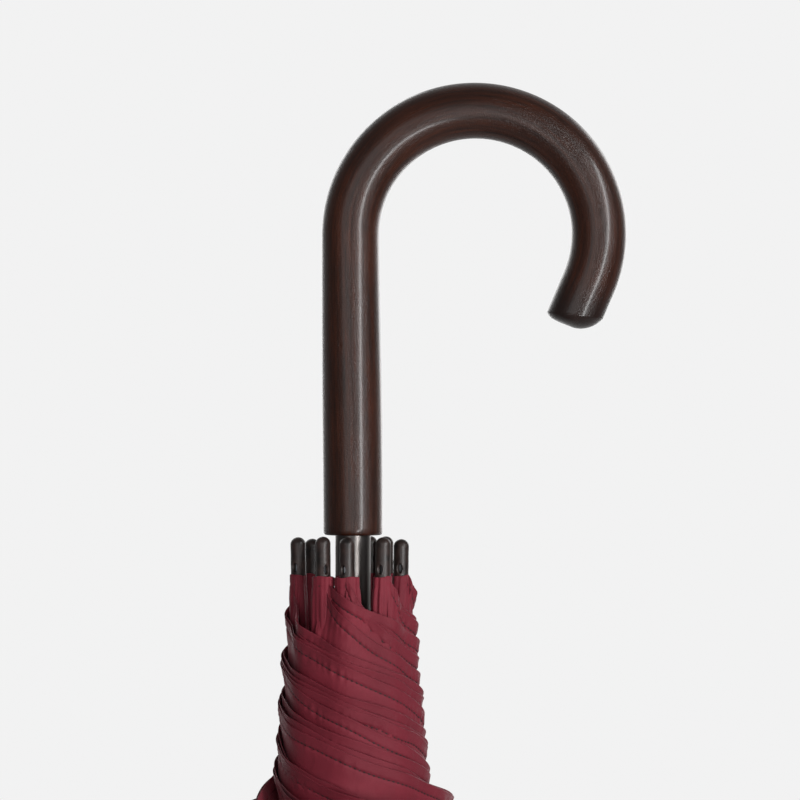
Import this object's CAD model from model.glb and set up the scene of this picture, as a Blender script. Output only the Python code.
"""Looks for the stick umbrella: bent wooden handle, nickel shaft and rolled maroon canopy."""
import math

import bpy
import numpy as np
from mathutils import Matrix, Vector


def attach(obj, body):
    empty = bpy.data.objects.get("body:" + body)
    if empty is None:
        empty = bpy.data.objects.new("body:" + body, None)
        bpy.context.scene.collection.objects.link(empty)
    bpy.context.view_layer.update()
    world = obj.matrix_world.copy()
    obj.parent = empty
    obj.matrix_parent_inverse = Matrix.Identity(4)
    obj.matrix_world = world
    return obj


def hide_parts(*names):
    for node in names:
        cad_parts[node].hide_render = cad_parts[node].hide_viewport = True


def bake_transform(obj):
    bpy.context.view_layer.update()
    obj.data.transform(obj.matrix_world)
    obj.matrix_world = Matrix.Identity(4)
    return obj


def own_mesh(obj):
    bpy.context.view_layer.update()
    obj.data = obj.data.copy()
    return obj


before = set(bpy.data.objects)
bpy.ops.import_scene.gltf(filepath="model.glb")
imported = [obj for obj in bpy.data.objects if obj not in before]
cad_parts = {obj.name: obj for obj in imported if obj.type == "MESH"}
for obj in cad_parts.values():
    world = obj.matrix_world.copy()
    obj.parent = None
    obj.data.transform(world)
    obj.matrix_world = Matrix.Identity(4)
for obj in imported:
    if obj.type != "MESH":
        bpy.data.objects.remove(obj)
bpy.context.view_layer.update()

MM = 0.001
TAU = 2 * math.pi

# ---------------------------------------------------------------- sizes of the CAD model, in millimetres
NOTCH_Z = 72.0          # rib hinges
HINGE_R = 10.0
RIB_LEN = 584.0
JOINER = 225.0
LEAN = math.asin((20.3 - 2.2 - HINGE_R) / RIB_LEN)
RIB_OFF = 2.2
PHASE = -94.5
RIBS = 8
GRIP_Z = 657.0
GRIP_H = 117.0
CROOK_R = 48.8
CROOK_TURN = 202.6
TAIL = 14.0
CAP_R = 3.0             # a little over the CAD rib end, for the moulded draft
CAP_LEN = 28.0
OPEN_TILT = math.radians(75)
STRAP_Z = 467.0
CROWN_Z = 66.0          # where the panels' edges would meet
CLOTH_TOP = 641.4       # cloth edge at the rib end caps
GORE_HALF = math.radians(22.2)

# how far each rib's end leans round the shaft in the rolled bundle, in degrees
SHIFT = [-1.0, -4.5, -8.0, 9.0, -14.0, 13.0, 3.0, 13.5]
PUSH = [0.0, 0.0, -0.9, -0.5, 0.0, 0.0, 1.3, -0.7]     # and how far it stands out, in millimetres


def push_at(i, z):
    return PUSH[i] * ramp(z, 400, 640)


def smooth(x):
    x = np.clip(x, 0, 1)
    return x * x * (3 - 2 * x)


def ramp(x, a, b):
    """0 before a, 1 after b, smooth between."""
    return smooth((np.asarray(x, float) - a) / (b - a))


def link_r(z):
    """Radius of a rib's link line at a height."""
    return HINGE_R + (np.asarray(z, float) - NOTCH_Z) * math.tan(LEAN)


def shift_at(i, z):
    """Angle in radians by which rib i (from 0) has leant sideways at a height."""
    return math.radians(SHIFT[i]) * ramp(z, 330, 640)


# ---------------------------------------------------------------- mesh helpers
def grid_faces(rows, cols, start=0, wrap=False, flip=False):
    r = np.arange(rows - 1)[:, None]
    n = cols if wrap else cols - 1
    c = np.arange(n)[None, :]
    d = (c + 1) % cols
    a, b = start + r * cols + c, start + r * cols + d
    e, f = start + (r + 1) * cols + d, start + (r + 1) * cols + c
    q = np.stack([a, b, e, f], -1).reshape(-1, 4)
    return q[:, ::-1] if flip else q


def piece(name, verts, faces, mats, uv=None, mat_index=None, smooth_shade=True):
    """A mesh object from millimetre points. uv is one pair per vertex."""
    me = bpy.data.meshes.new(name)
    verts = np.asarray(verts, float) * MM
    if isinstance(faces, np.ndarray):
        faces = faces.tolist()
    me.from_pydata(verts.tolist(), [], faces)
    me.validate()
    for m in mats if isinstance(mats, (list, tuple)) else [mats]:
        me.materials.append(m)
    if uv is not None:
        idx = np.zeros(len(me.loops), np.int32)
        me.loops.foreach_get("vertex_index", idx)
        layer = me.uv_layers.new(name="UVMap")
        layer.data.foreach_set("uv", np.asarray(uv, np.float32)[idx].ravel())
    if mat_index is not None and len(mat_index) == len(me.polygons):
        me.polygons.foreach_set("material_index", np.asarray(mat_index, np.int32))
    me.polygons.foreach_set("use_smooth", [smooth_shade] * len(me.polygons))
    me.update()
    o = bpy.data.objects.new(name, me)
    bpy.context.scene.collection.objects.link(o)
    return o


def join_parts(parts):
    """One vertex list, face list, uv list and material list from several (verts, faces, uv, mat) parts."""
    vs, fs, us, ms, n = [], [], [], [], 0
    for v, f, u, m in parts:
        vs.append(np.asarray(v, float).reshape(-1, 3))
        fs += [[k + n for k in face] for face in (f.tolist() if isinstance(f, np.ndarray) else f)]
        us.append(np.zeros((len(vs[-1]), 2)) if u is None else np.asarray(u, float).reshape(-1, 2))
        ms += [m] * len(f) if isinstance(m, int) else list(m)
        n += len(vs[-1])
    return np.concatenate(vs), fs, np.concatenate(us), ms


# ---------------------------------------------------------------- materials
def material(name, color, rough=0.5, metal=0.0, **sockets):
    m = bpy.data.materials.new(name)
    m.use_nodes = True
    nt = m.node_tree
    b = nt.nodes["Principled BSDF"]
    b.inputs["Base Color"].default_value = (*color, 1)
    b.inputs["Roughness"].default_value = rough
    b.inputs["Metallic"].default_value = metal
    for k, v in sockets.items():
        b.inputs[k.replace("_", " ")].default_value = v
    return m, nt, b


def node(nt, kind, **values):
    n = nt.nodes.new(kind)
    for k, v in values.items():
        if k in n.inputs:
            n.inputs[k].default_value = v
        else:
            setattr(n, k, v)
    return n


def wood_material():
    m, nt, b = material("stained_wood", (0.04, 0.02, 0.014), 0.34)
    b.inputs["Coat Weight"].default_value = 0.36
    b.inputs["Coat Roughness"].default_value = 0.20
    b.inputs["Specular IOR Level"].default_value = 0.28
    uv = node(nt, "ShaderNodeUVMap", uv_map="UVMap")
    stretch = node(nt, "ShaderNodeMapping")
    stretch.inputs["Scale"].default_value = (28, 620, 1)
    nt.links.new(uv.outputs[0], stretch.inputs["Vector"])
    grain = node(nt, "ShaderNodeTexNoise", Scale=1.0, Detail=6.0, Roughness=0.62)
    nt.links.new(stretch.outputs[0], grain.inputs["Vector"])
    fine = node(nt, "ShaderNodeMapping")
    fine.inputs["Scale"].default_value = (170, 3600, 1)
    nt.links.new(uv.outputs[0], fine.inputs["Vector"])
    pores = node(nt, "ShaderNodeTexNoise", Scale=1.0, Detail=3.0, Roughness=0.5)
    nt.links.new(fine.outputs[0], pores.inputs["Vector"])
    patch = node(nt, "ShaderNodeTexNoise", Scale=38.0, Detail=3.0, Roughness=0.55)
    geo = node(nt, "ShaderNodeTexCoord")
    nt.links.new(geo.outputs["Object"], patch.inputs["Vector"])
    r1 = node(nt, "ShaderNodeValToRGB")
    r1.color_ramp.elements[0].position, r1.color_ramp.elements[1].position = 0.30, 0.72
    r1.color_ramp.elements[0].color = (0.0125, 0.0034, 0.0015, 1)
    r1.color_ramp.elements[1].color = (0.056, 0.0158, 0.0072, 1)
    nt.links.new(grain.outputs[0], r1.inputs[0])
    r2 = node(nt, "ShaderNodeValToRGB")
    r2.color_ramp.elements[0].position, r2.color_ramp.elements[1].position = 0.33, 0.50
    r2.color_ramp.elements[0].color = (0.35, 0.33, 0.33, 1)
    r2.color_ramp.elements[1].color = (1, 1, 1, 1)
    nt.links.new(pores.outputs[0], r2.inputs[0])
    mul = node(nt, "ShaderNodeMix", data_type="RGBA", blend_type="MULTIPLY")
    mul.inputs["Factor"].default_value = 0.7
    nt.links.new(r1.outputs[0], mul.inputs["A"])
    nt.links.new(r2.outputs[0], mul.inputs["B"])
    r3 = node(nt, "ShaderNodeValToRGB")
    r3.color_ramp.elements[0].position, r3.color_ramp.elements[1].position = 0.3, 0.7
    r3.color_ramp.elements[0].color = (0.72, 0.70, 0.70, 1)
    r3.color_ramp.elements[1].color = (1.22, 1.12, 1.05, 1)
    nt.links.new(patch.outputs[0], r3.inputs[0])
    mul2 = node(nt, "ShaderNodeMix", data_type="RGBA", blend_type="MULTIPLY")
    mul2.inputs["Factor"].default_value = 1.0
    nt.links.new(mul.outputs["Result"], mul2.inputs["A"])
    nt.links.new(r3.outputs[0], mul2.inputs["B"])
    # end grain drinks more stain
    sep = node(nt, "ShaderNodeSeparateXYZ")
    nt.links.new(uv.outputs[0], sep.inputs[0])
    tip = node(nt, "ShaderNodeMapRange", interpolation_type="SMOOTHSTEP")
    length = (GRIP_H + CROOK_R * math.radians(CROOK_TURN) + TAIL) * MM
    tip.inputs["From Min"].default_value = length - 0.020
    tip.inputs["From Max"].default_value = length - 0.001
    tip.inputs["To Min"].default_value, tip.inputs["To Max"].default_value = 0.0, 0.80
    nt.links.new(sep.outputs["X"], tip.inputs["Value"])
    mul3 = node(nt, "ShaderNodeMix", data_type="RGBA", blend_type="MIX")
    nt.links.new(tip.outputs[0], mul3.inputs["Factor"])
    nt.links.new(mul2.outputs["Result"], mul3.inputs["A"])
    mul3.inputs["B"].default_value = (0.0085, 0.0045, 0.004, 1)
    nt.links.new(mul3.outputs["Result"], b.inputs["Base Color"])
    rr = node(nt, "ShaderNodeMapRange")
    rr.inputs["From Min"].default_value, rr.inputs["From Max"].default_value = 0.3, 0.7
    rr.inputs["To Min"].default_value, rr.inputs["To Max"].default_value = 0.36, 0.25
    nt.links.new(grain.outputs[0], rr.inputs["Value"])
    nt.links.new(rr.outputs[0], b.inputs["Roughness"])
    speck_map = node(nt, "ShaderNodeMapping")
    speck_map.inputs["Scale"].default_value = (1900, 1100, 1)
    nt.links.new(uv.outputs[0], speck_map.inputs["Vector"])
    speck = node(nt, "ShaderNodeTexNoise", Scale=1.0, Detail=3.0, Roughness=0.65)
    nt.links.new(speck_map.outputs[0], speck.inputs["Vector"])
    bump = node(nt, "ShaderNodeBump", Strength=0.25, Distance=0.0002)
    nt.links.new(pores.outputs[0], bump.inputs["Height"])
    bump2 = node(nt, "ShaderNodeBump", Strength=0.7, Distance=0.0003)
    nt.links.new(speck.outputs[0], bump2.inputs["Height"])
    nt.links.new(bump.outputs[0], bump2.inputs["Normal"])
    nt.links.new(bump2.outputs[0], b.inputs["Normal"])
    return m


def cloth_material(name, tint=1.0):
    """Plain-weave polyester. The weave runs along the piece's UV map, in metres."""
    m, nt, b = material(name, (0.178 * tint, 0.0175 * tint, 0.030 * tint), 0.58)
    b.inputs["Sheen Weight"].default_value = 0.10
    b.inputs["Sheen Roughness"].default_value = 0.4
    b.inputs["Sheen Tint"].default_value = (0.9, 0.62, 0.66, 1)
    b.inputs["Specular IOR Level"].default_value = 0.22
    uv = node(nt, "ShaderNodeUVMap", uv_map="UVMap")
    sep = node(nt, "ShaderNodeSeparateXYZ")
    nt.links.new(uv.outputs[0], sep.inputs[0])
    waves = []
    for axis in ("X", "Y"):
        w = node(nt, "ShaderNodeMath", operation="MULTIPLY")
        w.inputs[1].default_value = TAU / 0.00042
        nt.links.new(sep.outputs[axis], w.inputs[0])
        s = node(nt, "ShaderNodeMath", operation="SINE")
        nt.links.new(w.outputs[0], s.inputs[0])
        waves.append(s)
    weave = node(nt, "ShaderNodeMath", operation="MULTIPLY")
    nt.links.new(waves[0].outputs[0], weave.inputs[0])
    nt.links.new(waves[1].outputs[0], weave.inputs[1])
    geo = node(nt, "ShaderNodeTexCoord")
    mottle = node(nt, "ShaderNodeTexNoise", Scale=55.0, Detail=4.0, Roughness=0.6)
    nt.links.new(geo.outputs["Object"], mottle.inputs["Vector"])
    ramp1 = node(nt, "ShaderNodeValToRGB")
    ramp1.color_ramp.elements[0].position, ramp1.color_ramp.elements[1].position = 0.28, 0.75
    ramp1.color_ramp.elements[0].color = (0.148 * tint, 0.0135 * tint, 0.0245 * tint, 1)
    ramp1.color_ramp.elements[1].color = (0.204 * tint, 0.0205 * tint, 0.0350 * tint, 1)
    nt.links.new(mottle.outputs[0], ramp1.inputs[0])
    nt.links.new(ramp1.outputs[0], b.inputs["Base Color"])
    # threads that run a little thick or thin, in both directions
    slub_map = node(nt, "ShaderNodeMapping")
    slub_map.inputs["Scale"].default_value = (60, 2300, 1)
    nt.links.new(uv.outputs[0], slub_map.inputs["Vector"])
    slub = node(nt, "ShaderNodeTexNoise", Scale=1.0, Detail=2.0, Roughness=0.5)
    nt.links.new(slub_map.outputs[0], slub.inputs["Vector"])
    crease_map = node(nt, "ShaderNodeMapping")
    crease_map.inputs["Scale"].default_value = (210, 60, 1)
    crease_map.inputs["Rotation"].default_value = (0, 0, 0.5)
    nt.links.new(uv.outputs[0], crease_map.inputs["Vector"])
    crease = node(nt, "ShaderNodeTexNoise", Scale=1.0, Detail=3.0, Roughness=0.5, Distortion=0.6)
    nt.links.new(crease_map.outputs[0], crease.inputs["Vector"])
    b1 = node(nt, "ShaderNodeBump", Strength=0.3, Distance=0.00012)
    nt.links.new(weave.outputs[0], b1.inputs["Height"])
    b2 = node(nt, "ShaderNodeBump", Strength=0.12, Distance=0.0003)
    nt.links.new(slub.outputs[0], b2.inputs["Height"])
    nt.links.new(b1.outputs[0], b2.inputs["Normal"])
    b3 = node(nt, "ShaderNodeBump", Strength=0.2, Distance=0.0012)
    nt.links.new(crease.outputs[0], b3.inputs["Height"])
    nt.links.new(b2.outputs[0], b3.inputs["Normal"])
    nt.links.new(b3.outputs[0], b.inputs["Normal"])
    return m


def metal_material(name, color, rough, streak=0.06, scale=(900, 900, 25)):
    m, nt, b = material(name, color, rough, 1.0)
    geo = node(nt, "ShaderNodeTexCoord")
    mp = node(nt, "ShaderNodeMapping")
    mp.inputs["Scale"].default_value = scale
    nt.links.new(geo.outputs["Object"], mp.inputs["Vector"])
    n = node(nt, "ShaderNodeTexNoise", Scale=1.0, Detail=3.0)
    nt.links.new(mp.outputs[0], n.inputs["Vector"])
    rr = node(nt, "ShaderNodeMapRange")
    rr.inputs["To Min"].default_value, rr.inputs["To Max"].default_value = rough - streak, rough + streak
    nt.links.new(n.outputs[0], rr.inputs["Value"])
    nt.links.new(rr.outputs[0], b.inputs["Roughness"])
    bump = node(nt, "ShaderNodeBump", Strength=0.05, Distance=0.0001)
    nt.links.new(n.outputs[0], bump.inputs["Height"])
    nt.links.new(bump.outputs[0], b.inputs["Normal"])
    return m


def plastic_material(name, low, high, rough, bump_strength=0.12, scale=900.0):
    m, nt, b = material(name, high, rough)
    geo = node(nt, "ShaderNodeTexCoord")
    n = node(nt, "ShaderNodeTexNoise", Scale=260.0, Detail=4.0, Roughness=0.65)
    nt.links.new(geo.outputs["Object"], n.inputs["Vector"])
    r = node(nt, "ShaderNodeValToRGB")
    r.color_ramp.elements[0].position, r.color_ramp.elements[1].position = 0.35, 0.68
    r.color_ramp.elements[0].color, r.color_ramp.elements[1].color = (*low, 1), (*high, 1)
    nt.links.new(n.outputs[0], r.inputs[0])
    nt.links.new(r.outputs[0], b.inputs["Base Color"])
    rr = node(nt, "ShaderNodeMapRange")
    rr.inputs["To Min"].default_value, rr.inputs["To Max"].default_value = rough - 0.08, rough + 0.1
    nt.links.new(n.outputs[0], rr.inputs["Value"])
    nt.links.new(rr.outputs[0], b.inputs["Roughness"])
    f = node(nt, "ShaderNodeTexNoise", Scale=scale, Detail=2.0)
    nt.links.new(geo.outputs["Object"], f.inputs["Vector"])
    bump = node(nt, "ShaderNodeBump", Strength=bump_strength, Distance=0.0002)
    nt.links.new(f.outputs[0], bump.inputs["Height"])
    nt.links.new(bump.outputs[0], b.inputs["Normal"])
    return m


WOOD = wood_material()
CLOTH = cloth_material("maroon_polyester")
SEAM = cloth_material("maroon_polyester_seam", 0.66)
HEMBAND = cloth_material("maroon_polyester_double", 0.90)
THREAD, _, _ = material("maroon_thread", (0.024, 0.0035, 0.0065), 0.7)
SHAFT = metal_material("black_nickel", (0.13, 0.12, 0.115), 0.33, 0.03)
DARK_STEEL = metal_material("plated_spring_steel", (0.13, 0.13, 0.14), 0.32)
BRIGHT = metal_material("bright_steel", (0.62, 0.62, 0.63), 0.28)
CAP = plastic_material("rib_end_plastic", (0.006, 0.0034, 0.0029), (0.034, 0.0165, 0.0135), 0.42, 0.35)
HOLE = plastic_material("hole_shadow", (0.0015, 0.0012, 0.0012), (0.003, 0.0024, 0.0022), 0.8)
NYLON = plastic_material("black_nylon", (0.010, 0.010, 0.011), (0.018, 0.018, 0.019), 0.34, 0.08)

for names, mat in (
    (("shaft", "top_notch", "crown_cap", "ferrule", "strap_snap_cap"), SHAFT),
    (("shaft_pins", "notch_wire", "runner_wire", "bottom_catch", "top_catch", "strap_snap_stud"), BRIGHT),
    (("crown_rosette",), CLOTH),
    (("ferrule_tip", "runner"), NYLON),
    (tuple(f"stretcher_{i}" for i in range(1, 9)), DARK_STEEL),
    (tuple(f"rib_joiner_{i}" for i in range(1, 9)), BRIGHT),
):
    for n in names:
        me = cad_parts[n].data
        me.materials.clear()
        me.materials.append(mat)

# ---------------------------------------------------------------- camera, lights and floor
AIM = Vector((0.0184, 0, 0.7099))
DIST = 1.5
cam_data = bpy.data.cameras.new("camera")
cam_data.sensor_width = 36
cam_data.lens = 18 / (0.1568 / DIST)
cam_data.clip_end = 100
cam = bpy.data.objects.new("camera", cam_data)
cam.location = AIM + Vector((0, -DIST, 0))
cam.rotation_euler = (math.pi / 2, 0, 0)
bpy.context.scene.collection.objects.link(cam)
bpy.context.scene.camera = cam


def area_light(name, where, target, width, height, power, color=(1, 1, 1)):
    d = bpy.data.lights.new(name, "AREA")
    d.shape, d.size, d.size_y, d.energy, d.color = "RECTANGLE", width, height, power, color
    o = bpy.data.objects.new(name, d)
    o.location = where
    o.rotation_euler = (Vector(target) - Vector(where)).to_track_quat("-Z", "Z").to_euler()
    bpy.context.scene.collection.objects.link(o)
    return o


area_light("strip", (0.92, -1.30, 0.72), (0, 0, 0.66), 0.15, 2.2, 31)
area_light("front_soft", (-0.55, -1.85, 0.85), (0, 0, 0.66), 1.1, 1.3, 7)
area_light("behind_left", (-0.55, 1.75, 1.0), (0, 0, 0.45), 1.0, 1.6, 9)
area_light("behind_right", (0.9, 1.7, 0.9), (0, 0, 0.45), 0.8, 1.6, 9)
bpy.context.scene.view_settings.view_transform = "Standard"


def studio_world():
    """Pale backdrop for the camera, and a softer room for the light: bright above, dimmer below."""
    world = bpy.data.worlds.new("studio")
    world.use_nodes = True
    nt = world.node_tree
    back = nt.nodes["Background"]
    back.inputs[0].default_value = (0.887, 0.887, 0.888, 1)
    room = node(nt, "ShaderNodeBackground")
    geo = node(nt, "ShaderNodeTexCoord")
    sep = node(nt, "ShaderNodeSeparateXYZ")
    nt.links.new(geo.outputs["Generated"], sep.inputs[0])
    up = node(nt, "ShaderNodeMapRange")
    up.inputs["From Min"].default_value, up.inputs["From Max"].default_value = -0.6, 0.9
    up.inputs["To Min"].default_value, up.inputs["To Max"].default_value = 0.11, 0.22
    nt.links.new(sep.outputs["Z"], up.inputs["Value"])
    behind = node(nt, "ShaderNodeMapRange")
    behind.inputs["From Min"].default_value, behind.inputs["From Max"].default_value = 0.15, 0.95
    behind.inputs["To Min"].default_value, behind.inputs["To Max"].default_value = 0.0, 0.58
    nt.links.new(sep.outputs["Y"], behind.inputs["Value"])
    both = node(nt, "ShaderNodeMath", operation="ADD")
    nt.links.new(up.outputs[0], both.inputs[0])
    nt.links.new(behind.outputs[0], both.inputs[1])
    nt.links.new(both.outputs[0], room.inputs["Strength"])
    seen = node(nt, "ShaderNodeLightPath")
    mix = node(nt, "ShaderNodeMixShader")
    nt.links.new(seen.outputs["Is Camera Ray"], mix.inputs[0])
    nt.links.new(room.outputs[0], mix.inputs[1])
    nt.links.new(back.outputs[0], mix.inputs[2])
    nt.links.new(mix.outputs[0], nt.nodes["World Output"].inputs[0])
    bpy.context.scene.world = world


studio_world()


def floor():
    """A pale round floor that fades out at its edge and can't be seen from below."""
    m, nt, b = material("pale_floor", (0.15, 0.15, 0.15), 0.9)
    b.inputs["Specular IOR Level"].default_value = 0.1
    geo = node(nt, "ShaderNodeNewGeometry")
    ln = node(nt, "ShaderNodeVectorMath", operation="LENGTH")
    nt.links.new(geo.outputs["Position"], ln.inputs[0])
    mr = node(nt, "ShaderNodeMapRange", interpolation_type="SMOOTHSTEP")
    mr.inputs["From Min"].default_value, mr.inputs["From Max"].default_value = 0.4, 1.5
    mr.inputs["To Min"].default_value, mr.inputs["To Max"].default_value = 1.0, 0.0
    nt.links.new(ln.outputs["Value"], mr.inputs["Value"])
    front = node(nt, "ShaderNodeMath", operation="SUBTRACT")
    front.inputs[0].default_value = 1.0
    nt.links.new(geo.outputs["Backfacing"], front.inputs[1])
    alpha = node(nt, "ShaderNodeMath", operation="MULTIPLY")
    nt.links.new(mr.outputs[0], alpha.inputs[0])
    nt.links.new(front.outputs[0], alpha.inputs[1])
    nt.links.new(alpha.outputs[0], b.inputs["Alpha"])
    b.inputs["Emission Color"].default_value = (1, 1, 1, 1)
    seen = node(nt, "ShaderNodeLightPath")
    glow = node(nt, "ShaderNodeMapRange")
    glow.inputs["To Min"].default_value, glow.inputs["To Max"].default_value = 0.20, 0.77
    nt.links.new(seen.outputs["Is Camera Ray"], glow.inputs["Value"])
    nt.links.new(glow.outputs[0], b.inputs["Emission Strength"])
    n, r = 128, 2700.0
    vs = [(0, 0, -1.0)] + [(r * math.cos(TAU * k / n), r * math.sin(TAU * k / n), -1.0) for k in range(n)]
    fs = [[0, 1 + k, 1 + (k + 1) % n] for k in range(n)]
    piece("floor", vs, fs, m, smooth_shade=False)


floor()


# ---------------------------------------------------------------- wooden handle
def build_handle():
    rng = np.random.default_rng(7)
    turn = math.radians(CROOK_TURN)
    arc = CROOK_R * turn
    rows = []      # (distance along, radius, tilt share)
    for r, h in ((7.06, 9.0), (7.06, 0.35), (7.4, 0.0), (9.4, 0.0), (10.5, 0.03), (10.95, 0.18),
                 (11.32, 0.45), (11.6, 0.9), (11.73, 1.6)):
        rows.append((h, r, 0.0))
    total = GRIP_H + arc + TAIL
    step = 0.6
    for s in np.arange(2.2, total - 0.3, step):
        r = 11.76 - 0.55 * ramp(s, 45, GRIP_H + 10) - 0.28 * ramp(s, GRIP_H, GRIP_H + 80)
        r -= 0.24 * ramp(s, GRIP_H + 90, total - 10)
        rows.append((s, r, ramp(s, total - 26, total)))
    r0 = 10.69
    for dr, h in ((0.0, -0.15), (0.06, 0.05), (0.22, 0.32), (0.5, 0.75), (0.95, 1.3), (1.6, 1.95),
                  (2.5, 2.65), (3.7, 3.3), (5.1, 3.85), (6.7, 4.28), (8.3, 4.5), (9.6, 4.58), (10.3, 4.6)):
        rows.append((total + h, r0 - dr, (r0 - dr) / r0))
    n = 112
    th = np.arange(n) / n * TAU
    nicks = [(GRIP_H + arc - 10, 0.40, 1.3, 0.30), (GRIP_H + 32, 0.9, 0.9, 0.16), (74, 5.1, 1.1, 0.18),
             (GRIP_H + 88, 5.9, 0.8, 0.14), (38, 4.4, 0.7, 0.12)]
    waves = [(rng.integers(1, 4), rng.uniform(0.012, 0.05), rng.uniform(0, TAU), rng.uniform(0, TAU),
              rng.uniform(0.02, 0.06)) for _ in range(9)]
    V, U = [], []
    for s, r, tilt in rows:
        a = np.clip((s - GRIP_H) / CROOK_R, 0, turn)
        along = min(s, GRIP_H), max(0.0, s - GRIP_H - arc)
        c = np.array([CROOK_R - CROOK_R * math.cos(a), 0, GRIP_Z + along[0] + CROOK_R * math.sin(a)])
        t = np.array([math.sin(a), 0, math.cos(a)])
        c = c + t * along[1]
        # the stock stands slightly off the shaft's line
        c = c + np.array([-1.05, 0, 0.5]) * ramp(s, 0, 122)
        c = c + np.array([-0.45, 0, 0.1]) * ramp(s, total - 50, total)
        n1 = np.array([-math.cos(a), 0, math.sin(a)])
        n2 = np.array([0, 1.0, 0])
        rr = np.full(n, r)
        if s > 1.7 and s < total:
            for k, f, p, q, amp in waves:
                rr += amp * np.cos(k * th + p + 0.3 * np.sin(f * s)) * np.cos(f * s + q)
            for ns, nt_, size, depth in nicks:
                d2 = ((s - ns) / size) ** 2 + ((np.angle(np.exp(1j * (th - nt_)))) * r / (0.5 * size)) ** 2
                rr -= depth * np.exp(-d2 * 1.6)
        # the end is cut a little out of square with the bend
        off = -math.tan(math.radians(15.5)) * tilt * rr * np.cos(th)
        P = c + rr[:, None] * (np.cos(th)[:, None] * n1 + np.sin(th)[:, None] * n2) + off[:, None] * t
        V.append(P)
        U.append(np.stack([np.full(n, s * MM), th / TAU * 0.070], -1))
    m = len(rows)
    # the seam of the UV map needs its own column of points
    V = np.stack(V)
    V = np.concatenate([V, V[:, :1]], 1)
    U = np.stack(U)
    U = np.concatenate([U, U[:, :1] + [0, 0.070]], 1)
    faces = grid_faces(m, n + 1).tolist()
    pts = V.reshape(-1, 3)
    uvs = U.reshape(-1, 2)
    end = pts[(m - 1) * (n + 1):].mean(0)
    k = len(pts)
    pts = np.concatenate([pts, [end]])
    uvs = np.concatenate([uvs, [[(total + 5) * MM, 0.035]]])
    base = (m - 1) * (n + 1)
    faces += [[base + j, base + j + 1, k] for j in range(n)]
    o = piece("crook_handle", pts, faces, WOOD, uvs)
    import bmesh
    bm = bmesh.new()
    bm.from_mesh(o.data)
    bmesh.ops.remove_doubles(bm, verts=bm.verts, dist=1e-7)
    bmesh.ops.recalc_face_normals(bm, faces=bm.faces)
    bm.to_mesh(o.data)
    bm.free()
    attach(o, "root")
    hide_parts("handle")


build_handle()
# ---------------------------------------------------------------- ribs and their end caps
def rib_frame(i):
    """Foot, direction, outward and sideways vectors of rib i's line at rest."""
    a = math.radians(PHASE + 45 * i)
    u, t = np.array([math.cos(a), math.sin(a), 0]), np.array([-math.sin(a), math.cos(a), 0])
    d = math.sin(LEAN) * u + math.cos(LEAN) * np.array([0, 0, 1.0])
    out = math.cos(LEAN) * u - math.sin(LEAN) * np.array([0, 0, 1.0])
    foot = HINGE_R * u + np.array([0, 0, NOTCH_Z])
    return foot, d, out, t


def lean_points(i, pts):
    """Rib points moved sideways round the shaft as the roll presses them."""
    dphi = math.radians(SHIFT[i]) * ramp(pts[:, 2], 330, 640)
    more = 1 + push_at(i, pts[:, 2]) / np.maximum(np.hypot(pts[:, 0], pts[:, 1]), 5)
    c, s = np.cos(dphi) * more, np.sin(dphi) * more
    return np.column_stack([pts[:, 0] * c - pts[:, 1] * s, pts[:, 0] * s + pts[:, 1] * c, pts[:, 2]])


def end_cap(i):
    """Moulded cap with a round end, a collar at the cloth and a sunk hole for the tacking thread."""
    foot, d, out, t = rib_frame(i)
    rng = np.random.default_rng(40 + i)
    lo, hi = RIB_LEN - CAP_LEN, RIB_LEN + (0.9, 0.8, -0.4, 0.0, 0.0, -0.8, 0.2, 1.0)[i]
    prof = [(lo, 1.2), (lo + 0.2, 2.3), (lo + 0.8, 2.62), (lo + 2, 2.72)]
    prof += [(x, CAP_R) for x in np.arange(lo + 3, hi - 3.2, 0.28)]
    dome = 2.8
    prof += [(hi - dome + dome * math.sin(q), CAP_R * math.cos(q))
             for q in np.linspace(0, math.pi / 2 * 0.985, 15)]
    n = 96
    th = np.arange(n) / n * TAU
    hole_th = math.radians((-30, -62, -88, -60, -60, -60, 62, 62)[i])
    hole_x = 644.3 - NOTCH_Z
    V = []
    for x, r in prof:
        rr = np.full(n, r)
        along = (x - hole_x) / 2.0
        across = np.angle(np.exp(1j * (th - hole_th))) * r / 1.15
        q = np.sqrt(along ** 2 + across ** 2)
        rr = rr - 1.7 * (1 - ramp(q, 0.66, 1.0)) + 0.10 * np.exp(-((q - 1.12) / 0.14) ** 2)
        rr = rr + 0.02 * np.sin(3 * th + rng.uniform(0, 0.4)) + 0.018 * np.sin(x * 0.9 + 2 * th)
        c = foot + d * x + out * RIB_OFF
        V.append(c + rr[:, None] * (np.cos(th)[:, None] * out + np.sin(th)[:, None] * t))
    V = np.stack(V)
    m = len(prof)
    pts = V.reshape(-1, 3)
    f = grid_faces(m, n, wrap=True).tolist()
    k = len(pts)
    pts = np.concatenate([pts, [V[0].mean(0)], [foot + d * hi + out * RIB_OFF]])
    f += [[(j + 1) % n, j, k] for j in range(n)]
    b = (m - 1) * n
    f += [[b + j, b + (j + 1) % n, k + 1] for j in range(n)]
    # the hole is dark inside
    def deep(face):
        v = [g for g in face if g < m * n]
        x = np.mean([prof[g // n][0] for g in v])
        a = np.angle(np.mean([np.exp(1j * th[g % n]) for g in v]))
        gap = np.angle(np.exp(1j * (a - hole_th))) * 3.0 / 1.15
        return math.hypot((x - hole_x) / 2.0, gap) < 0.8
    mi = [1 if abs(prof[min(face[0] // n, m - 1)][0] - hole_x) < 2.2 and deep(face) else 0 for face in f]
    pts = lean_points(i, pts)
    return piece(f"rib_end_cap_{i + 1}_moulded", pts, f, [CAP, HOLE], mat_index=mi)


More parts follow.
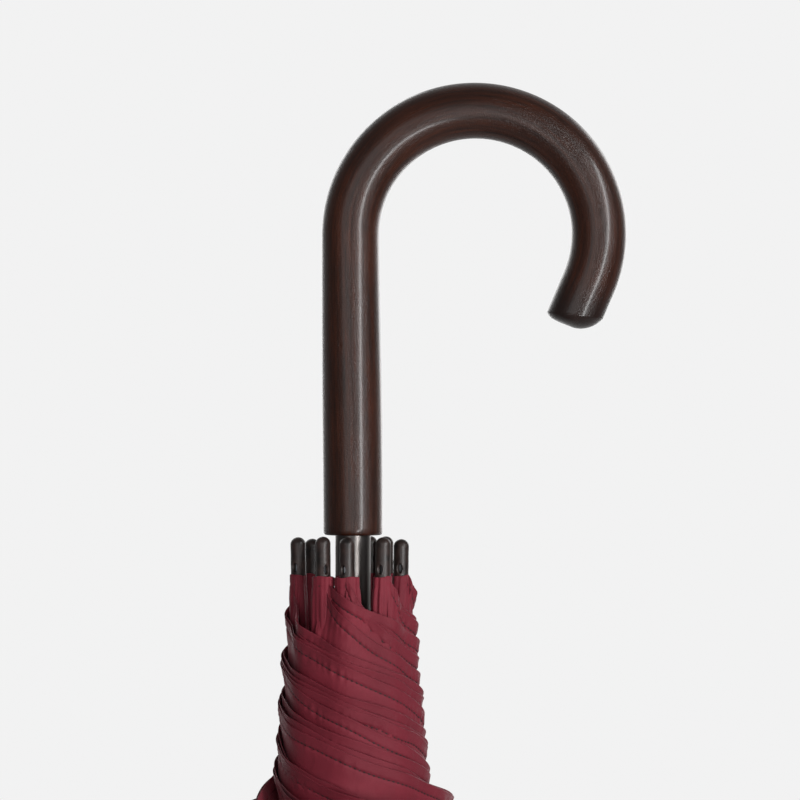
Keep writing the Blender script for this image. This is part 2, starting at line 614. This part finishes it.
def rib_strip(i):
    """Fluted U-section rib with rounded corners, and its hinge tongue."""
    foot, d, out, t = rib_frame(i)
    w, h, wall = 1.6, 1.2, 0.42
    sec = []
    for a, b in ((-w, -h), (-w, h - 0.5), (-w + 0.15, h - 0.15), (-w + 0.5, h), (0, h + 0.0), (w - 0.5, h),
                 (w - 0.15, h - 0.15), (w, h - 0.5), (w, -h), (w - wall, -h), (w - wall, h - wall - 0.2),
                 (w - wall - 0.2, h - wall), (-w + wall + 0.2, h - wall), (-w + wall, h - wall - 0.2),
                 (-w + wall, -h)):
        sec.append((a, b))
    sec = np.array(sec)
    xs = np.concatenate([[9.0, 9.6], np.arange(14, 570, 9.0), [578.0]])
    V = []
    for x in xs:
        c = foot + d * x + out * RIB_OFF
        V.append(c + sec[:, :1] * t + sec[:, 1:] * out)
    V = np.stack(V)
    m, n = V.shape[:2]
    pts = V.reshape(-1, 3)
    f = grid_faces(m, n, wrap=True).tolist()
    f += [list(range(n))[::-1], [(m - 1) * n + k for k in range(n)]]
    # tongue from the hinge eye into the channel
    k = len(pts)
    prof = [(math.cos(a) * 1.75, math.sin(a) * 1.75) for a in np.linspace(math.pi * 0.62, math.pi * 1.42, 12)]
    prof += [(8.0, 0.9), (16.0, 0.95), (16.0, 2.9), (8.0, 2.9)]
    tv = []
    for side in (-0.38, 0.38):
        for a, b in prof:
            tv.append(foot + d * a + out * b + t * side)
    q = len(prof)
    f += [[k + j, k + (j + 1) % q, k + q + (j + 1) % q, k + q + j] for j in range(q)]
    f += [[k + j for j in range(q)][::-1], [k + q + j for j in range(q)]]
    pts = np.concatenate([pts, np.array(tv)])
    pts = lean_points(i, pts)
    return piece(f"rib_{i + 1}_fluted", pts, f, DARK_STEEL, smooth_shade=False)


for i in range(RIBS):
    foot, d, out, t = rib_frame(i)
    for o, n, s in ((end_cap(i), f"rib_end_cap_{i + 1}", "rib_tip_plastic"),
                    (rib_strip(i), f"rib_{i + 1}", "frame_steel")):
        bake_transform(o)
        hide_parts(n)


# ---------------------------------------------------------------- rolled canopy
PITCH = 7.2 / TAU       # radial growth of the roll, in mm per radian
CORD = 574.0            # rib line of a panel, crown to edge

ROLL = np.array([[66, 13.4], [76, 13.6], [84, 14.05], [200, 15.4], [330, 17.2], [430, 18.5], [455, 18.6],
                 [480, 18.9], [520, 19.9], [540, 20.8], [561, 22.3], [592, 22.7], [616, 23.5], [632, 23.5],
                 [642, 23.1]])


def roll_r(z):
    """Radius at which the cloth of a rib starts to wrap."""
    return np.interp(z, ROLL[:, 0], ROLL[:, 1])


CREASE = np.random.default_rng(21)
CREASES = [(m, a * CREASE.uniform(0.7, 1.2), CREASE.uniform(0, TAU), CREASE.integers(1, 4),
            CREASE.uniform(0, TAU), CREASE.uniform(60, 130), CREASE.uniform(8.5, 12.5))
           for m, a in ((1, .34), (2, .30), (3, .26), (4, .22), (5, .16), (6, .12), (7, .10),
                        (9, .07), (11, .06))]


def creases(phi, z):
    """Soft folds that the whole roll shares, in mm."""
    out = 0
    for m, a, p, n, q, lam, k in CREASES:
        out = out + a * np.sin(m * phi + m / k * z + p) * (0.55 + 0.45 * np.sin(n * phi + z / lam + q))
    under_strap = 1 - 0.92 * ramp(z, 430, 456) * (1 - ramp(z, 479, 505))
    return out * under_strap * ramp(z, 80, 140) * (1.5 - 0.5 * ramp(z, 400, 440))


# depth of the notch beside each rib end, and how fast the hem drops into it, for a panel's two halves
HEM_A = [(15.0, 8.0), (9.5, 9.0), (13.0, 8.0), (11.0, 8.0),
         (12.5, 9.0), (10.0, 7.0), (17.0, 8.0), (4.0, 14.0)]
HEM_B = [(11.5, 11.0), (12.5, 7.0), (9.0, 8.0), (12.0, 9.0),
         (9.5, 7.0), (12.5, 8.0), (16.0, 14.0), (16.0, 8.0)]
# the same for the middle of each panel's hem, where it folds
FOLD_D = [21.5, 9.5, 12.5, 10.5, 12.0, 9.0, 12.0, 10.0]


def wing_layer(j, side, cols, rows_dh, far_rows):
    """One half of panel j as it lies in the roll. side 0 starts at rib j, side 1 at rib j + 1."""
    rng = np.random.default_rng(100 + 2 * j + side)
    x = np.linspace(0, 1, cols)
    s = x * (0.55 + 0.45 * x)
    beta = s * GORE_HALF
    depth, fall = (HEM_A if side == 0 else HEM_B)[j]
    mix_s = smooth((s - 0.25) / 0.6)
    d = depth * (1 - mix_s) + FOLD_D[j] * mix_s
    wob = [(rng.uniform(0.12, 0.28), rng.uniform(18, 48), rng.uniform(0, TAU)) for _ in range(3)]

    def drop(u):
        h = 0.406 * u + d * (1 - np.exp(-u / fall))
        for a, lam, p in wob:
            h = h + a * (np.sin(TAU * u / lam + p) - math.sin(p)) * smooth(u / 12)
        return h

    rho = np.full(cols, CORD)
    for _ in range(60):
        rho = rho - 0.6 * (CROWN_Z + rho * np.cos(beta) - (CLOTH_TOP - drop(rho * np.sin(beta))))
    far = 1 - (1 - np.linspace(0, 1, far_rows + 1)[1:]) ** 1.3
    R = [np.maximum(rho - dh, 1.3) for dh in rows_dh]
    last = R[-1]
    R += [last + (1.3 - last) * f for f in far]
    R = np.stack(R)                                   # rows x cols
    DH = np.stack([np.full(cols, dh) for dh in rows_dh] + [rho - r for r in R[len(rows_dh):]])
    u = R * np.sin(beta)
    z = CROWN_Z + R * np.cos(beta)
    S = np.broadcast_to(s, R.shape)
    start = roll_r(z)
    wrap = (np.sqrt((start + 1) ** 2 + 2 * PITCH * u) - (start + 1)) / PITCH
    half = math.radians(22.5)
    tight = 0.22 + 0.78 * ramp(z, 72, 150)
    rib = (j + side) % RIBS
    base = math.radians(PHASE + 45 * (j + side)) + shift_at(rib, z) * (1 - S)
    other = shift_at((j + 1 - side) % RIBS, z)
    own = shift_at(rib, z)
    base = base + 0.5 * (own + other) * S
    if side == 0:
        rel = wrap + half * S
        turn = rel
        phi = base + rel
        r = start + PITCH * turn * tight
    else:
        rel = wrap - half * S
        turn = rel + math.radians(45)
        phi = base + rel
        r = start + (PITCH * turn - 0.45) * tight
    # sag between the ribs, most in the layers that lie on them
    at = (phi - math.radians(PHASE)) / math.radians(45)
    sag = (0.5 + 0.7 * ramp(z, 480, 600) + 2.6 * ramp(z, 606, 638)) * (1 - 0.5 * smooth(turn / 6))
    free = 1 - 0.9 * ramp(z, 440, 456) * (1 - ramp(z, 479, 500))
    r = r - sag * np.sin(np.pi * at) ** 2 * ramp(z, 90, 150) * free
    r = r + creases(phi, z)
    # hem: raised doubled band, drawn in along the stitching, and standing off the layer below
    dh = DH
    lift_wave = 0.5 + 0.5 * np.sin(u / 9.0 + rng.uniform(0, TAU)) * np.sin(u / 23.0 + rng.uniform(0, TAU))
    r = r + (0.80 + 0.85 * lift_wave) * np.exp(-np.maximum(dh, 0) / 5.0) * smooth(u / 6)
    r = r + 0.20 * (1 - ramp(dh, 4.2, 4.9)) - 0.34 * np.exp(-((dh - 4.5) / 0.6) ** 2)
    ph = u / 3.05 * TAU + 2.4 * np.sin(u / 7.3 + rng.uniform(0, TAU))
    ph = ph + 1.5 * np.sin(u / 2.3 + rng.uniform(0, TAU))
    amp = 0.20 + 0.13 * np.sin(u / 8.0 + rng.uniform(0, TAU))
    amp = amp + 0.10 * np.sin(u / 3.7 + rng.uniform(0, TAU))
    r = r + amp * np.sin(ph + 0.35 * (dh - 4.5)) * np.exp(-((dh - 4.4) / 2.2) ** 2) * smooth(u / 5)
    # short gathers that run down from each rib end
    near = np.exp(-(u / 9.0) ** 2) * np.exp(-np.maximum(dh, 0) / 26.0)
    r = r + 0.28 * near * np.sin(u * 2.1 + 0.6 * np.sin(z / 6.0) + rng.uniform(0, TAU))
    # the free corner stands away
    rem = (1 - S) * R * math.tan(GORE_HALF)
    out = 15.0 * np.clip(1 - rem / 31.0, 0, 1) ** 1.5 * ramp(z, 490, 554)
    edge = (0.62 + 0.3 * np.sin(z / 37.0 + 1.7 * j)) * np.exp(-rem / 4.5)
    out = out + edge * ramp(z, 84, 130) * (1 - ramp(z, 425, 450))
    r = r + out
    # held in by the strap
    band = ramp(z, 430, 456) * (1 - ramp(z, 478, 505))
    r = start + (r - start) * (1 - 0.075 * band)
    r = np.where(r > 27.65, r - (r - 27.65) * 0.9 * band, r)
    return phi, z, r, u, R, S, beta, DH


# distance of each row of points from the hem, closest round the stitching
ROWS = ([0.0, 0.16, 0.45, 0.9, 1.5, 2.2, 2.9, 3.5, 3.9, 4.2, 4.5, 4.8, 5.1, 5.6, 6.3, 7.2, 8.4, 9.8, 11.5]
        + [13.5]
        + list(np.arange(16, 60, 3.0)) + list(np.arange(60, 205, 4.5)))


def lean_left(z):
    """Where the roll stands a little off the shaft's line."""
    return ramp(z, 545, 600) * (1 - ramp(z, 612, 638))


def wing(j):
    cols, far_rows = 210, 44
    parts = []
    sides = [wing_layer(j, k, cols, ROWS, far_rows) for k in (0, 1)]
    grids, uvs = [], []
    for k, (phi, z, r, u, R, S, beta, DH) in enumerate(sides):
        x, y = r * np.cos(phi) - 1.1 * lean_left(z), r * np.sin(phi)
        P = np.stack([x, y, z], -1)
        # hem turned in: three rows behind the edge
        back = []
        for dh_row, inward in ((9, 0.34), (5, 0.38), (2, 0.34)):
            q = P[dh_row].copy()
            rr = r[dh_row] - inward
            q[:, 0] = rr * np.cos(phi[dh_row]) - 1.1 * lean_left(z[dh_row])
            q[:, 1] = rr * np.sin(phi[dh_row])
            back.append(q)
        edge = P[0].copy()
        edge[:, 0] = (r[0] - 0.17) * np.cos(phi[0]) - 1.1 * lean_left(z[0])
        edge[:, 1] = (r[0] - 0.17) * np.sin(phi[0])
        edge[:, 2] += 0.08
        P2 = np.concatenate([np.stack(back), edge[None], P[1:]], 0)
        sg = 1 if k == 0 else -1
        V = np.stack([-sg * (GORE_HALF - beta) * R * MM, R * MM], -1)
        V2 = np.concatenate([V[[9, 5, 2]] + [0, 0.02], V], 0)
        grids.append(P2)
        uvs.append(V2)
    A, B = grids[0], grids[1][:, ::-1]
    # the fold is a small round turn from one layer to the other
    mid, halfway = 0.5 * (A[:, -1] + B[:, 0]), 0.5 * (A[:, -1] - B[:, 0])
    ahead = A[:, -1] - A[:, -4]
    ahead /= np.linalg.norm(ahead, axis=1)[:, None] + 1e-9
    size = np.maximum(np.linalg.norm(halfway, axis=1), 0.02)[:, None]
    turn = [mid + halfway * math.cos(q) + ahead * size * math.sin(q)
            for q in np.linspace(0, math.pi, 7)[1:-1]]
    G = np.concatenate([A, np.stack(turn, 1), B], 1)
    W = np.concatenate([uvs[0]] + [uvs[0][:, -1:]] * len(turn) + [uvs[1][:, ::-1]], 1)
    extra = len(turn)
    rows, cc = G.shape[:2]
    shade = np.zeros((rows - 1, cc - 1), int)
    shade[:12] = 3
    shade[12:14] = 2
    parts.append((G, grid_faces(rows, cc, flip=True), W, shade.ravel().tolist()))
    # stitches along both hems, as short raised threads
    row = 3 + 10
    for lo, hi, sg in ((0, cols - 1, 1), (cols + extra, 2 * cols + extra - 1, -1)):
        line = G[row, lo:hi]
        up = G[row + 2, lo:hi] - G[row - 2, lo:hi]
        up /= np.linalg.norm(up, axis=1)[:, None] + 1e-9
        t = np.gradient(line, axis=0)
        seg = np.linalg.norm(t, axis=1)
        t /= seg[:, None] + 1e-9
        nrm = np.cross(up, t) * sg
        nrm /= np.linalg.norm(nrm, axis=1)[:, None] + 1e-9
        radial = line * [1, 1, 0]
        flip = np.sign((nrm * radial).sum(1))[:, None]
        nrm = nrm * flip
        s = np.concatenate([[0], np.cumsum(np.linalg.norm(np.diff(line, axis=0), axis=1))])
        centre = np.arange(2.4, s[-1] - 1.0, 2.1)
        n = len(centre)
        if n < 2:
            continue
        def at(v, q):
            return np.stack([np.interp(q, s, v[:, c]) for c in range(3)], -1)
        a, m, b = at(line, centre - 0.72), at(line, centre), at(line, centre + 0.72)
        N, Up = at(nrm, centre), at(up, centre)
        ring = [a - N * 0.02, m - Up * 0.42 + N * 0.12, m + N * 0.30, m + Up * 0.42 + N * 0.12, b - N * 0.02]
        v = np.stack(ring, 1).reshape(-1, 3)
        f = []
        for c in range(n):
            o = 5 * c
            f += [[o, o + 1, o + 2], [o, o + 2, o + 3], [o + 1, o + 4, o + 2], [o + 2, o + 4, o + 3]]
        parts.append((v, f, None, 1))
    # pocket over the rib end
    parts.append(pocket(j))
    v, f, uv, mi = join_parts(parts)
    name = f"canopy_gore_{j + 1}_rolled"
    o = piece(name, v, f, [CLOTH, THREAD, SEAM, HEMBAND], uv, mi)
    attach(o, "root")
    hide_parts(f"canopy_gore_{j + 1}")
    return o


def pocket(i):
    """Gathered pocket of cloth round rib end i, open at the top."""
    rng = np.random.default_rng(300 + i)
    cols = 72
    zz = np.concatenate([[637.0, 639.5, 641.1], [641.45, 641.35, 641.0, 640.4], np.arange(639.4, 630, -0.9),
                         np.arange(630, 600, -1.6), np.arange(600, 575, -4)])
    th = np.linspace(-math.pi, math.pi, cols)
    waves = [(k, rng.uniform(0.05, 0.15), rng.uniform(0, TAU), rng.uniform(-0.1, 0.1))
             for k in (4, 6, 7, 9, 11, 14)]
    P, U = [], []
    for n, z in enumerate(zz):
        down = 641.4 - z
        top_wide, spread = (4.75, 0.3) if i in (0, 7) else (3.9, 0.6)
        wide = top_wide + spread * ramp(down, 1, 10) + 1.2 * ramp(down, 16, 60)
        deep = 3.2 + 0.25 * ramp(down, 2, 10) - 0.4 * ramp(down, 24, 50)
        g = sum(a * np.sin(k * th + p + q * down) for k, a, p, q in waves) * (0.5 + 0.7 * ramp(down, 0, 10))
        g = g + 0.10 * np.sin(th * 3 + 1.3 * i) - 0.22 * math.exp(-((down - 3.6) / 0.5) ** 2)
        inner = {0: -0.30, 1: -0.34, 2: -0.32, 3: -0.14}.get(n, 0.0)
        ox = (deep + g + inner) * np.cos(th)
        oy = (wide + g + inner) * np.sin(th)
        phi = math.radians(PHASE + 45 * i) + float(shift_at(i, z))
        rc = float(link_r(z)) + RIB_OFF + float(push_at(i, z)) - 0.1 * ramp(down, 10, 40)
        er, et = np.array([math.cos(phi), math.sin(phi)]), np.array([-math.sin(phi), math.cos(phi)])
        xy = (rc + ox)[:, None] * er + oy[:, None] * et
        zed = z + (0.25 * np.sin(2 * th + i) + 0.12 * np.sin(5 * th + 2 * i)) * (1 - ramp(down, 0, 6))
        P.append(np.column_stack([xy, zed]))
        U.append(np.stack([th * 3.7 * MM, np.full(cols, z * MM)], -1))
    P = np.stack(P)
    return P, grid_faces(len(zz), cols, flip=False), np.stack(U), 0


wings = [wing(j) for j in range(RIBS)]


# ---------------------------------------------------------------- spread canopy
FAN = 0.4               # width of each folded fin at rest, in mm


def open_panel(i):
    """Panel between rib i and the next. At rest it is a thin fin by its rib; the joints fan it out."""
    foot, d, out, t = rib_frame(i)
    edge = np.array([0, .004, .01, .02, .035, .055, .08])
    c = np.concatenate([edge, np.linspace(.11, .89, 27), 1 - edge[::-1]])
    side = 0.5 - np.sin(np.arcsin(1 - 2 * c) / 3)
    near = np.minimum(c, 1 - c) * 430
    top = 569.4 - 12 * (1 - np.exp(-near / 16)) - 0.5 * np.sin(near / 5) * smooth(near / 20)
    rows = np.concatenate([np.linspace(3.8, 60, 12), np.linspace(75, 540, 34)]) / 541.0
    tail = np.array([24.0, 19.0, 15.0, 11.0, 8.0, 6.4, 5.4, 4.5, 3.6, 2.4, 1.2, 0.3, 0.0])
    R0 = np.concatenate([rows[:, None] * (top - 28), top - tail[:, None]], 0)
    inset = np.stack([top - 0.3, top - 3.9])
    R0 = np.concatenate([R0, inset], 0)
    n = len(R0)
    q0 = 3.6 + 0.5 * ramp(R0, 90, 160)
    dist = top - R0
    left, right = c * 430, (1 - c) * 430
    q0 = q0 + 2.0 * ramp(R0, 541, 556) * np.exp(-(near / 18) ** 2)
    q0 = q0 + 0.7 * np.exp(-((R0 - JOINER) / 9) ** 2 - (near / 8) ** 2)
    q0 = q0 + np.maximum(push_at(i, NOTCH_Z + R0), 0) * np.exp(-(left / 12) ** 2)
    q0 = q0 + np.maximum(push_at((i + 1) % RIBS, NOTCH_Z + R0), 0) * np.exp(-(right / 12) ** 2)
    q0 = q0 + 0.25 * (1 - ramp(dist, 4.2, 4.9)) - 0.3 * np.exp(-((dist - 4.5) / 0.5) ** 2)
    q0[-2:] -= 0.55
    sway = np.sin(np.pi * c)
    # drawn in between the ribs, with a few shallow pulls from the rib ends
    pull = 0.8 * np.sin(9 * np.pi * c + i) * np.exp(-dist / 60) * sway
    pull = pull + 0.45 * np.sin(5 * np.pi * c + 2 * i + R0 / 90) * sway
    R = HINGE_R + R0 * math.sin(OPEN_TILT)
    h = R0 * math.cos(OPEN_TILT)
    k = math.cos(math.radians(22.5)) / np.cos((c - 0.5) * math.radians(45))
    bow = 1 - (1 - k) * (1 + 0.10 * sway * ramp(R0, 60, 400))
    along = (R * bow - HINGE_R) * math.sin(OPEN_TILT) + h * math.cos(OPEN_TILT)
    proud = (R * bow - HINGE_R) * math.cos(OPEN_TILT) - h * math.sin(OPEN_TILT)
    bend = 26.4 * (np.maximum(R0 - JOINER, 0) / (RIB_LEN - JOINER)) ** 3
    q = q0 + proud - bend + pull
    P = (foot + along[..., None] * d + q[..., None] * out + (side * FAN)[None, :, None] * t)
    U = np.stack([(c - 0.5)[None, :] * R * math.radians(45) * MM, R0 * MM], -1)
    o = piece(f"canopy_panel_{i + 1}_open", P.reshape(-1, 3), grid_faces(n, len(c)), CLOTH, U.reshape(-1, 2))
    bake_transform(o)
    return o


for i in range(RIBS):
    open_panel(i)


# ---------------------------------------------------------------- closing strap
def strip(name, r, z0, z1, a0, a1, thick, closed, body, seed, end_round=0.0):
    """Doubled band of cloth round the roll, stitched along both edges."""
    rng = np.random.default_rng(seed)
    n = 240 if closed else 84
    a = np.linspace(a0, a1, n + (0 if closed else 1), endpoint=not closed)
    half = (z1 - z0) / 2
    v = np.concatenate([[-1, -0.985, -0.955], np.linspace(-0.9, 0.9, 25), [0.955, 0.985, 1]])
    face = np.interp(np.abs(v), [0, .9, .955, .985, 1], [1, 1, .82, .5, 0])
    zc = v * half
    groove = -0.16 * (np.exp(-((np.abs(zc) - (half - 1.9)) / 0.35) ** 2))
    puff = 0.12 * (1 - np.abs(v) ** 4)
    A, V = np.meshgrid(a, v)
    wav = sum(rng.uniform(0.03, 0.09) * np.sin(k * A + rng.uniform(0, TAU) + V * rng.uniform(-1, 1))
              for k in (3, 5, 8, 13, 21)) * (1 if closed else 0.5)
    puck = 0.05 * np.sin(A * r / 0.5) * np.exp(-((np.abs(V) * half - (half - 1.9)) / 0.8) ** 2)
    if end_round:
        arc = (a1 - A) * r
        round_off = np.sqrt(np.clip(1 - ((end_round - arc) / end_round) ** 2, 0, 1))
        short = np.where(arc < end_round, round_off, 1.0)
        keep = (half - end_round) / half
        scale = keep + (1 - keep) * short
    else:
        scale = 1.0
    Z = (z0 + z1) / 2 + V * half * scale + 0.12 * np.sin(2 * A + seed) * (1 if closed else 0)
    outer = r + thick * 0.5 + (thick * 0.5) * face[:, None]
    outer = outer + (groove + puff)[:, None] * (face[:, None] > .9) + wav * 0.6 + puck
    inner = r + thick * 0.5 - (thick * 0.5) * face[:, None] + wav * 0.3
    O = np.stack([outer * np.cos(A), outer * np.sin(A), Z], -1)
    I = np.stack([inner * np.cos(A), inner * np.sin(A), Z], -1)[::-1][1:-1]
    ring = np.concatenate([O, I], 0).transpose(1, 0, 2)     # along the band x round its section
    m, s = ring.shape[:2]
    f = grid_faces(m, s, wrap=True).tolist()
    if closed:
        f += [[(m - 1) * s + k, (m - 1) * s + (k + 1) % s, (k + 1) % s, k] for k in range(s)]
    else:
        f += [list(range(s))[::-1], [(m - 1) * s + k for k in range(s)]]
    uv = np.stack([np.broadcast_to((a * r * MM)[:, None], (m, s)), ring[..., 2] * MM], -1)
    parts = [(ring, f, uv, 0)]
    # visible thread along both edges
    for sgn in (-1, 1):
        row = np.argmin(np.abs(zc - sgn * (half - 1.9)))
        line = O[row]
        step = 2.3 / r
        c = np.arange(a0 + 1.2 / r, a1 - (1.2 + end_round * 0.5) / r, step)
        def at(q, dr, dz):
            rr = np.interp(q, a, np.hypot(line[:, 0], line[:, 1])) + dr
            return np.stack([rr * np.cos(q), rr * np.sin(q), np.interp(q, a, line[:, 2]) + dz], -1)
        e = 0.75 / r
        pts = np.stack([at(c - e, 0.0, 0), at(c, .12, -.2), at(c, .26, 0), at(c, .12, .2),
                        at(c + e, 0.0, 0)], 1).reshape(-1, 3)
        ff = []
        for k in range(len(c)):
            b = 5 * k
            ff += [[b, b + 2, b + 1], [b, b + 3, b + 2], [b + 1, b + 2, b + 4], [b + 2, b + 3, b + 4]]
        parts.append((pts, ff, None, 1))
    v_, f_, uv_, mi = join_parts(parts)
    o = piece(name, v_, f_, [CLOTH, THREAD], uv_, mi)
    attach(o, body)
    return o


def lathe(name, prof, centre, axis_angle, mat, n=72):
    """Turned piece from (height, radius) pairs, standing out from the strap at an azimuth."""
    u = np.array([math.cos(axis_angle), math.sin(axis_angle), 0])
    t = np.array([-math.sin(axis_angle), math.cos(axis_angle), 0])
    zz = np.array([0, 0, 1.0])
    th = np.arange(n) / n * TAU
    V = np.stack([centre + h * u + r * (np.cos(th)[:, None] * t + np.sin(th)[:, None] * zz) for h, r in prof])
    m = len(prof)
    pts = np.concatenate([V.reshape(-1, 3), [centre + prof[0][0] * u], [centre + prof[-1][0] * u]])
    f = grid_faces(m, n, wrap=True).tolist()
    k, b = m * n, (m - 1) * n
    f += [[(j + 1) % n, j, k] for j in range(n)] + [[b + j, b + (j + 1) % n, k + 1] for j in range(n)]
    return piece(name, pts, f, mat)


band = strip("strap_band_sewn", 27.9, STRAP_Z - 12, STRAP_Z + 12, 0, TAU, 1.25, True, "root", 3)
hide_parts("strap_band")
tab = strip("strap_tab_sewn", 29.55, STRAP_Z - 11, STRAP_Z + 11, math.radians(-89), math.radians(-55),
            1.15, False, "strap_tab", 4, 6.0)
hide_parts("strap_tab")
snap_at = math.radians(-67)
snap_u = np.array([math.cos(snap_at), math.sin(snap_at), 0])
cap_prof = [(-0.1, 5.4), (0.0, 5.6), (0.35, 5.68), (0.7, 5.6), (0.95, 5.35), (1.05, 5.0), (1.0, 4.7),
            (0.88, 4.5), (0.9, 4.3), (1.15, 4.0), (1.45, 3.5), (1.66, 2.8), (1.78, 1.9),
            (1.83, 1.0), (1.84, 0.3)]
snap = lathe("strap_snap_cap_turned", cap_prof, snap_u * 31.0 + [0, 0, STRAP_Z], snap_at, SHAFT)
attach(snap, "strap_tab")
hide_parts("strap_snap_cap")
stud_prof = [(0, 2.0), (0.2, 2.05), (0.3, 1.9), (0.34, 1.5), (0.3, 1.2), (0.22, 1.0), (0.2, 0.2)]
stud = lathe("strap_snap_stud_turned", stud_prof, snap_u * 29.15 + [0, 0, STRAP_Z], snap_at, BRIGHT, 48)
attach(stud, "root")
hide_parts("strap_snap_stud")

# the roll and its strap fold away into the crown as the runner opens the ribs
for o in wings + [band, tab, snap, stud]:
    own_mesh(o)
